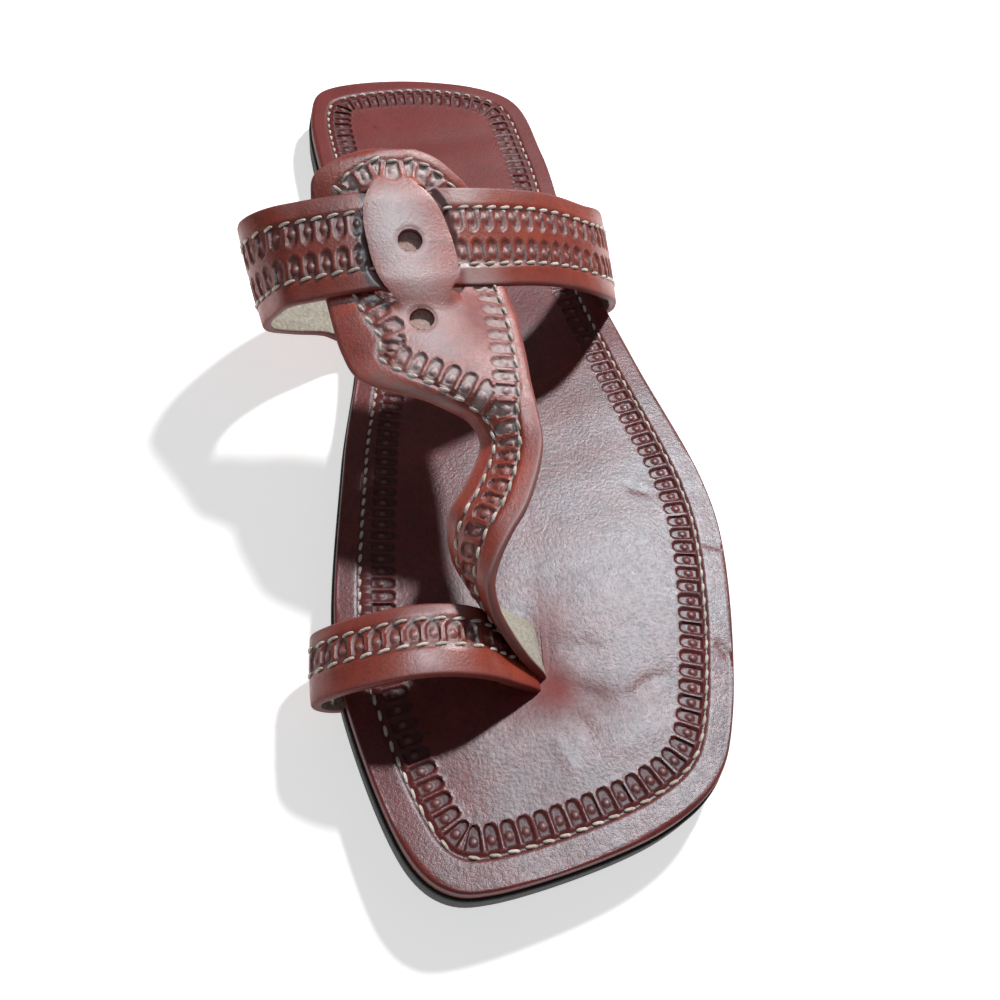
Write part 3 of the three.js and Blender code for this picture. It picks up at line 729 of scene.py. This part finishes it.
LOOP_WIDTH = 17.0
LOOP_SEAMS = (-1.5, 4.6)

# Middle line, turn and rise of the toe loop, as for the instep strap.
TOE_LOOP = np.array([
    (-34, -81, -5.75, 1, 0), (-41, -81, -5.75, 1, 0), (-46, -81.2, -4.8, 1, 0), (-48.9, -81.5, -1.6, 1, 0),
    (-49.2, -81.8, 2.5, 1, 0), (-45, -82.4, 8.4, 1, 0), (-37.5, -82.6, 13.2, 1, 0), (-28, -82.6, 16.6, 1, 0),
    (-19.4, -82.8, 16.8, 1, 0), (-12, -83, 13.9, -4, 0), (-7.8, -83, 8.8, -14, 0), (-2.6, -82.6, 3, -14, 0),
    (0.2, -82.3, 0, -10, 0), (1.2, -82.1, -2.2, -7, 0), (1.5, -82, -4.45, -6, 0)])


def loop_relief(s, w, length):
    """One row of tombstones across the space between the two seams, flat ends at the front."""
    front, back = LOOP_SEAMS
    height, pressed, bead = tombstones(s, w - front - 0.4, STAMP_PITCH, back - front - 0.8, STRAP_FILL)
    fade = ease(9, 11, s) * ease(2, 4, length - s)
    groove = seam_groove(w - front) + seam_groove(w - back)
    height = height * (w > front) * (w < back) - STRAP_GROOVE * groove
    return fade * height, fade * pressed, fade * groove, fade * bead


toe_loop, loop_frame = band_strap("toe_loop", TOE_LOOP, LOOP_WIDTH, 1, loop_relief)
loop_stitching = strap_stitches("toe_loop_stitching", loop_frame, LOOP_SEAMS, STAMP_PITCH,
                                12, loop_frame[0][-1] - 5, radians(10))
toe_loop.data.materials.append(band_leather)
loop_stitching.data.materials.append(thread)
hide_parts("upper")
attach(toe_loop, "root")
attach(loop_stitching, "root")

# Front strap: one cut of leather that rises from the post, twists on to the instep, widens to a fan and ends in a
# round lobe. Two slits let the instep strap through, so its middle makes a bridge. Two punched holes are for adjusting.

HOLE_RADIUS = 3.0
SLIT_WIDE = 0.056
WEAVE_RISE = 2.0
NECK_ROW = 10.4
FRONT_STEP = 0.5
FRONT_LENGTH = 260.0
FRONT_CELLS = (22, 5, 36, 5, 22)
STAMPS_BELOW_NECK, STAMPS_ABOVE_NECK = 5.0, 5.6
FRONT_STITCH = 2.7

# Each slit's share across in its middle and at its ends, and its first and last row. Each hole's row and share across.
SLITS = ((0.232, 0.325, 14.15, 15.9), (0.745, 0.655, 13.95, 15.9))
HOLES = ((13.6, 0.53), (14.98, 0.49))

# How far inside the cut edge the front strap's stitches run, by row of its table, on the outer and the inner side.
OUTER_SEAM_IN = np.array([(0, 5.2), (9.5, 5.2), (10.5, 4.6), (11.5, 3.6), (12.5, 3.3), (19, 3.2)])
INNER_SEAM_IN = np.array([
    (0, 4.8), (8, 4.8), (9.5, 4.3), (10.5, 4), (11.2, 4.4), (11.5, 5.2), (11.8, 6.3), (12.1, 8.2), (12.4, 9.6),
    (12.8, 10.4), (13.2, 9.8), (13.6, 8.2), (14, 7.2), (16.5, 7.2), (18, 5.6), (19, 3.6)])

# Painted sheen, pale grey, on the front strap where light catches it, and where it is rubbed red beside the outer slit:
# row and share across of the middle, reach in rows and in share, and how much.
PAINTED_SHEEN = ((15.3, 0.55, 0.8, 0.19, 0.75), (14.2, 0.52, 0.5, 0.15, 0.5), (13.3, 0.52, 0.5, 0.15, 0.5),
         (11.3, 0.88, 0.8, 0.07, 0.75))
WING_RUBBED = ((13.75, 0.24, 0.7, 0.13, 0.9),)

# Outer edge x, y, z, inner edge x, y, z, and the height of its middle above the line between them.
FRONT_STRAP = np.array([
    (4, -87.6, -4.45, 2.8, -73.4, -4.45, 0.2), (3.6, -87.4, 0, 2.4, -73.2, 0, 0.2),
    (-1.6, -85.2, 8.5, -3.2, -72, 4.2, 0.3), (-6, -82.2, 16, -8.6, -70, 8.2, 0.4),
    (-9.1, -78.7, 22, -12.8, -66.4, 12, 0.6), (-10, -74.5, 26.2, -15.7, -62.2, 15.4, 0.8),
    (-8.3, -69.8, 29, -17.1, -57.8, 19.8, 1), (-5.2, -64.8, 31, -16.6, -54, 24.2, 1),
    (-0.5, -58, 32.8, -12.8, -48.6, 26, 1), (4.8, -43.4, 34.8, -8, -38, 27, 1.2),
    (4.7, -35.3, 35.4, -10.6, -32.6, 29.6, 1.4), (4.3, -30.3, 35.6, -19.6, -28.4, 32.2, 2),
    (4.1, -25.8, 35.6, -36, -20.8, 31.2, 3), (4.1, -20.5, 35.6, -39.6, -13.4, 31.6, 3.6),
    (3.2, -3.3, 35.6, -42.5, -0.2, 34.9, 4.5), (-0.8, 12.6, 40.4, -44.4, 13.2, 39.9, 4.3),
    (-6.2, 27.6, 47.6, -45.4, 26.6, 45.2, 3.4), (-9.4, 30.6, 49.2, -44.6, 31.2, 47.2, 2.8),
    (-14.1, 33.7, 51, -40.1, 33.6, 49.4, 2), (-20.4, 35.5, 52.2, -30, 35.8, 51.6, 1)])
LAST_ROW = len(FRONT_STRAP) - 1


def slit_across(slit, along):
    """Where a slit lies across the strap: its middle share, turned in to its end share as the cube of the way to its
    ends, and the share over which the leather beside it changes height, which widens beyond its ends."""
    middle, end, first, last = slit
    away = np.abs(2 * along * LAST_ROW - first - last) / (last - first)
    return middle + (end - middle) * np.minimum(away, 1) ** 3, 0.03 + 0.1 * ease(1, 1.7, away)


def front_surface(along, across):
    """Middle surface of the front strap: straight lines between its two edges, raised by the crown as 4a(1-a), and by
    the weave, which lifts the bridge over the instep strap and pushes the wings outside the slits under it."""
    edges = lambda at: [smooth_path(FRONT_STRAP[:, k:k + 3], np.clip(at, 0, 1)) for k in (0, 3)]
    outer, inner = edges(along)
    crown = np.interp(along * LAST_ROW, np.arange(LAST_ROW + 1), FRONT_STRAP[:, 6])
    tangent = sum(unit(high - low) for low, high in zip(edges(along - 1e-4), edges(along + 1e-4)))
    normal = unit(np.cross(tangent, inner - outer))
    flat = outer + (inner - outer) * across[:, None]
    fade = 1 - ease(9, 20, np.abs(flat[:, 1] - 13))
    (outer_slit, outer_soft), (inner_slit, inner_soft) = (slit_across(slit, along) for slit in SLITS)
    share = ease(-outer_soft, outer_soft, across - outer_slit) * ease(-inner_soft, inner_soft, inner_slit - across)
    lift = crown * 4 * across * (1 - across) + WEAVE_RISE * fade * (2 * share - 1)
    return flat + normal * lift[:, None]


def front_slopes(along, across, step=4e-4):
    """Slopes of the surface along and across, by differences, and its normal on the dyed side."""
    low, high = np.clip(along - step, 0, 1), np.clip(along + step, 0, 1)
    down = (front_surface(high, across) - front_surface(low, across)) / (high - low)[:, None]
    over = (front_surface(along, across + step) - front_surface(along, across - step)) / (2 * step)
    return down, over, unit(np.cross(down, over))


def front_rows():
    """Shares along the strap at even steps of its middle line, with the slits' ends among them, and those ends' indices
    for each slit."""
    share = np.linspace(0, 1, 2001)
    run = run_along(front_surface(share, 0 * share + 0.5))
    ends = np.interp(np.array(SLITS)[:, 2:] / LAST_ROW, share, run)
    stops = [END_GAP, *np.unique(ends), run[-1]]
    spans = [np.linspace(a, b, int((b - a) / FRONT_STEP), endpoint=False) for a, b in zip(stops, stops[1:])]
    reach = np.concatenate([*spans, run[-1:]])
    return np.interp(reach, run, share), np.argmin(np.abs(reach - ends[..., None]), axis=-1)


along_rows, slit_rows = front_rows()
outer_slit, inner_slit = (slit_across(slit, along_rows)[0] for slit in SLITS)
stops = np.column_stack([0 * along_rows, outer_slit - SLIT_WIDE / 2, outer_slit + SLIT_WIDE / 2,
                         inner_slit - SLIT_WIDE / 2, inner_slit + SLIT_WIDE / 2, 0 * along_rows + 1])
columns = np.concatenate([k + np.arange(count) / count for k, count in enumerate(FRONT_CELLS)] + [[len(FRONT_CELLS)]])
cell = np.minimum(columns.astype(int), len(FRONT_CELLS) - 1)
across = stops[:, cell] + (stops[:, cell + 1] - stops[:, cell]) * (columns - cell)
along = np.broadcast_to(along_rows[:, None], across.shape).ravel()
across = across.ravel()
shape = (len(along_rows), len(columns))
sheet = front_surface(along, across)
normal = front_slopes(along, across)[2]


def cells_round(marked):
    """For each point of a grid, whether each of the four cells that meet there is marked. Outside it none is."""
    padded = np.pad(marked, 1)
    return np.stack([padded[1:, 1:], padded[1:, :-1], padded[:-1, 1:], padded[:-1, :-1]])


kept = np.ones((shape[0] - 1, shape[1] - 1), bool)
cell_ends = np.cumsum(FRONT_CELLS)
kept[slice(*slit_rows[0]), cell_ends[0]:cell_ends[1]] = False
kept[slice(*slit_rows[1]), cell_ends[2]:cell_ends[3]] = False
bore = np.zeros(shape)
for row, share in HOLES:
    away = sheet - front_surface(np.array([row / LAST_ROW]), np.array([share]))
    away -= dot(away, normal)[:, None] * normal
    radius = np.linalg.norm(away, axis=1).reshape(shape)
    inside = radius < HOLE_RADIUS
    gone = inside[:-1, :-1] & inside[1:, :-1] & inside[1:, 1:] & inside[:-1, 1:]
    kept &= ~gone
    rim = (cells_round(gone).any(0) & ~cells_round(gone).all(0)).ravel()
    sheet[rim] += away[rim] * (HOLE_RADIUS / np.linalg.norm(away[rim], axis=1) - 1)[:, None]
    bore = np.maximum(bore, bell((radius - HOLE_RADIUS) / 0.6))


def smoothed(vectors, reach):
    """Vectors averaged with their neighbours as far as a reach in points, under a bell, and brought to unit length."""
    window = np.hanning(2 * reach + 3)[1:-1]
    columns = [np.convolve(np.pad(column, reach, mode="edge"), window, "valid") for column in vectors.T]
    return unit(np.column_stack(columns))


def border_line():
    """Line of stitches inside the cut edge, as far in as the seam tables say: from each point of the edge, the surface
    is followed inwards, square to the edge, in small steps. Gives the shares along and across, the points and the
    distance run."""
    ends, over_end, moves = 500, 40, 12
    a = np.concatenate([np.linspace(0.02, 1, ends), np.full(over_end, 1.0), np.linspace(1, 0.02, ends)])
    f = np.concatenate([np.zeros(ends), np.linspace(0, 1, over_end + 2)[1:-1], np.ones(ends)])
    outer_in, inner_in = (np.interp(a * LAST_ROW, *seam.T) for seam in (OUTER_SEAM_IN, INNER_SEAM_IN))
    in_by = outer_in + (inner_in - outer_in) * f
    heading = unit(np.gradient(front_surface(a, f), axis=0))
    out = front_slopes(a, np.clip(f, 1e-3, 1 - 1e-3))[2]
    inward = smoothed(unit(np.cross(out, heading)), 29)
    for _ in range(moves):
        down, over, out = front_slopes(a, f)
        flat = inward - dot(inward, out)[:, None] * out
        dd, do, oo = dot(down, down), dot(down, over), dot(over, over)
        rd, ro = dot(flat, down), dot(flat, over)
        det = dd * oo - do * do
        a = np.clip(a + in_by / moves * (rd * oo - ro * do) / det, 0, 1)
        f = np.clip(f + in_by / moves * (ro * dd - rd * do) / det, 0, 1)
    points = front_surface(a, f)
    return np.column_stack([a, f]), points, run_along(points)


border_at, border, border_run = border_line()
steps = np.linspace(0, border_run[-1], int(border_run[-1] / 0.4))
line, where = along_path(border, border_run, steps), along_path(border_at, border_run, steps)
heading = smoothed(np.gradient(line, axis=0), 5)
inwards = unit(np.cross(front_slopes(*where.T)[2], heading))
narrow_inner = (where[:, 1] > 0.5) & (where[:, 0] < NECK_ROW / LAST_ROW)


def nearest(points, targets):
    """Index of the nearest target to each point, from the square distances as a whole table."""
    table = (targets**2).sum(1) - 2 * points @ targets.T
    return np.argmin(table, axis=1)


near = nearest(sheet, line)
seam_away = dot(sheet - line[near], inwards[near])
stamp_line = np.flatnonzero(~narrow_inner)
near_stamp = stamp_line[nearest(sheet, line[stamp_line])]
from_stamp = sheet - line[near_stamp]
stamp_in = dot(from_stamp, inwards[near_stamp])
missed = np.linalg.norm(from_stamp, axis=1) > np.abs(stamp_in) + 2.5
width_here = np.linalg.norm(front_surface(along, 0 * along) - front_surface(along, 0 * along + 1), axis=1)
stamp_long = np.where(along < NECK_ROW / LAST_ROW, STAMPS_BELOW_NECK, STAMPS_ABOVE_NECK)
stamp_along = steps[near_stamp] + dot(from_stamp, heading[near_stamp])
height, pressed, bead = tombstones(stamp_along, stamp_in - 0.4, STAMP_PITCH, stamp_long, STRAP_FILL)
clear = np.clip(1 - 1.2 * bore.ravel(), 0, 1) * ~missed * ease(0.04, 0.07, along)
height, pressed = height * clear * (stamp_in > 0), pressed * clear
groove = seam_groove(seam_away) * ease(0.02, 0.05, along)
from_edge = np.minimum(np.minimum(across, 1 - across) * width_here, 3.0)
from_edge = np.minimum(from_edge, (1 - along) * FRONT_LENGTH)
half = cut_edge(from_edge, STRAP_THICK / 2)
lip = 0.25 * bore.ravel()
top = (sheet + normal * (half + height - STRAP_GROOVE * groove - lip)[:, None]).reshape(*shape, 3)
bottom = (sheet - normal * half[:, None]).reshape(*shape, 3)
front_strap = closed_sheet("front_strap", top, bottom, kept)
row_at = along * LAST_ROW
worn = 0.55 * bell(from_edge / 0.8) * ease(1.5, 3, row_at) * (1 - ease(8, 10, row_at))
# Painted highlights: the glint zone and the sheen spots pale the beads, the stamps' bottoms and the strap (worn) where
# light catches it.
glint = ease(-46, -36, sheet[:, 1]) * np.maximum(ease(-29, -23, sheet[:, 0]), ease(10, 18, sheet[:, 1]))
worn += (0.35 + 0.4 * glint) * (bead * clear) ** 2 + 0.75 * glint * np.clip(-height / 0.4, 0, 1)
worn += spots(PAINTED_SHEEN, row_at, across)
rubbed = np.maximum(spots(WING_RUBBED, row_at, across), 0.7 * bore.ravel())
paint_leather(front_strap, from_edge, pressed, groove, worn, rubbed, cells_round(kept).all(0).ravel())
at = np.arange(0.5 * STAMP_PITCH, border_run[-1], STAMP_PITCH)
stitch_where, after = along_path(where, steps, at), along_path(where, steps, at + 0.5)
stitch_at, stitch_up = front_surface(*stitch_where.T), front_slopes(*stitch_where.T)[2]
heading = unit(front_surface(*after.T) - stitch_at)
front_stitching = thread_stitches("front_strap_stitching", stitch_at + stitch_up * (STRAP_THICK / 2 - 0.2), heading,
                                  stitch_up, FRONT_STITCH, radians(10))
front_strap.data.materials.append(dyed_leather(
    "front_polished_leather", linear(158, 61, 46), linear(66, 22, 18), linear(186, 78, 54), 0.36, 0.62,
    STRAP_TINT, 0.0007, 0.5))
front_stitching.data.materials.append(thread)
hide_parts("upper")
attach(front_strap, "root")
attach(front_stitching, "root")

# Hole floors: both holes are punched through the front strap's top layer only, so the natural leather of its second
# layer shows at their bottoms. Each is a small patch let into the strap.

HOLE_FLOORS_DOWN = (1.7, 2.0)
PATCH_SIDE = 25


def hole_floor(name, row, share, down):
    """A patch of the strap's own surface round a hole, from a given depth down to just above the strap's underside."""
    patch = np.meshgrid(np.linspace(row - 0.3, row + 0.3, PATCH_SIDE) / LAST_ROW,
                        np.linspace(share - 0.1, share + 0.1, PATCH_SIDE), indexing="ij")
    along, across = (values.ravel() for values in patch)
    sheet, out = (values.reshape(PATCH_SIDE, PATCH_SIDE, 3)
                  for values in (front_surface(along, across), front_slopes(along, across)[2]))
    return closed_sheet(name, sheet + out * (STRAP_THICK / 2 - down), sheet - out * (STRAP_THICK / 2 - 0.08))


suede, shade, feed = new_finish("natural_second_layer")
nap = shade.noise(1100, 4, 0.7)
feed({"Base Color": nap.ramp(0.3, 0.7).tint(linear(168, 138, 128), linear(206, 182, 174)),
      "Roughness": 0.5 + 0.2 * nap, "Normal": nap.bump(0.4, 0.0002)})
for name, hole, down in zip(("front_hole_floor", "back_hole_floor"), HOLES, HOLE_FLOORS_DOWN):
    floor_patch = hole_floor(name, *hole, down)
    floor_patch.data.materials.append(suede)
    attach(floor_patch, "root")

# Floor: a pale matt studio sheet under the shoe, and a round wall of the same paper behind it, which only the camera
# sees.

FLOOR_HALF = 3.0
WALL_RADIUS, WALL_HIGH, WALL_SIDES = 0.95, 4.0, 96

paper, shade, feed = new_finish("studio_paper")
feed({"Base Color": shade.noise(6, 2).ramp(0.3, 0.7).tint(linear(240, 240, 240), linear(244, 244, 244)),
      "Roughness": 0.9, "Emission Color": (1.0, 1.0, 1.0, 1.0), "Emission Strength": 0.6})


def paper_sheet(name, corners, faces):
    """A piece of the studio's paper from its corners in metres."""
    mesh = bpy.data.meshes.new(name)
    mesh.from_pydata(corners, [], faces)
    mesh.materials.append(paper)
    return new_object(name, mesh)


corners = [(x * FLOOR_HALF, y * FLOOR_HALF, 0.0) for x, y in ((-1, -1), (1, -1), (1, 1), (-1, 1))]
floor = paper_sheet("studio_floor", corners, [(0, 1, 2, 3)])
turn = np.linspace(0, 2 * pi, WALL_SIDES, endpoint=False)
wall = np.vstack([np.column_stack([WALL_RADIUS * np.cos(turn), WALL_RADIUS * np.sin(turn), 0 * turn + z])
                  for z in (0.0, WALL_HIGH)])
backdrop = paper_sheet("studio_wall", wall.tolist(), ring_faces(WALL_SIDES, 0, WALL_SIDES).tolist())
backdrop.visible_diffuse = backdrop.visible_glossy = backdrop.visible_shadow = backdrop.visible_transmission = False

# Light: a firm lamp from behind the heel's outer side gives the shading and the shadows, in an even pale surround.
# One oval softbox overhead gives only the straps' polish its reflections.

LAMP_AWAY = 1.3


def studio_lamp(name, direction, wide, long, energy, colour, shades, shines):
    """Oval lamp aimed at the shoe from a direction. It can be kept out of the shading or out of the reflections."""
    data = bpy.data.lights.new(name, "AREA")
    data.shape, data.size, data.size_y, data.energy, data.color = "ELLIPSE", wide, long, energy, colour
    lamp = new_object(name, data)
    toward = Vector(direction).normalized()
    lamp.matrix_world = Matrix.Translation(toward * LAMP_AWAY) @ toward.to_track_quat("Z", "Y").to_matrix().to_4x4()
    lamp.visible_diffuse, lamp.visible_glossy = shades, shines
    return lamp


studio_lamp("key_lamp", (0.4, 0.53, 0.75), 0.11, 0.11, 18, (1.0, 0.99, 0.97), True, True)
overhead = studio_lamp("overhead_softbox", (-0.07, 0.19, 0.98), 0.42, 0.72, 17, (0.82, 0.95, 1.0), False, True)
strap_group = bpy.data.collections.new("straps_under_overhead_softbox")
for strap in (cross_strap, toe_loop, front_strap):
    strap_group.objects.link(strap)
overhead.light_linking.receiver_collection = strap_group
world = bpy.data.worlds.new("pale_surround")
world.use_nodes = True
surround = world.node_tree.nodes["Background"].inputs
surround["Color"].default_value = (0.95, 0.97, 1.0, 1.0)
surround["Strength"].default_value = 0.14
bpy.context.scene.world = world
bpy.context.scene.view_settings.view_transform = "Standard"

# Camera: above and in front of the toe, looking back along the shoe. Its place and aim are in the tables' millimetres,
# and its right-hand side gives the roll at which the shoe is seen.

CAMERA_AT = np.array([-45.47, -166.79, 217.49])
CAMERA_AIM = np.array([0.0, -37.2, 0.0])
CAMERA_RIGHT = np.array([0.99863, -0.05234, 0.0])
view_line = unit(CAMERA_AIM - CAMERA_AT)
right = unit(CAMERA_RIGHT - (CAMERA_RIGHT @ view_line) * view_line)
camera_data = bpy.data.cameras.new("camera")
camera_data.sensor_width = 36
camera_data.lens = 35
camera_data.clip_start = 0.01
camera = new_object("camera", camera_data)
turn = np.column_stack([right, np.cross(right, view_line), -view_line])
camera.matrix_world = Matrix.Translation((CAMERA_AT + SHOE_ORIGIN) * MM) @ Matrix(turn.tolist()).to_4x4()
bpy.context.scene.camera = camera
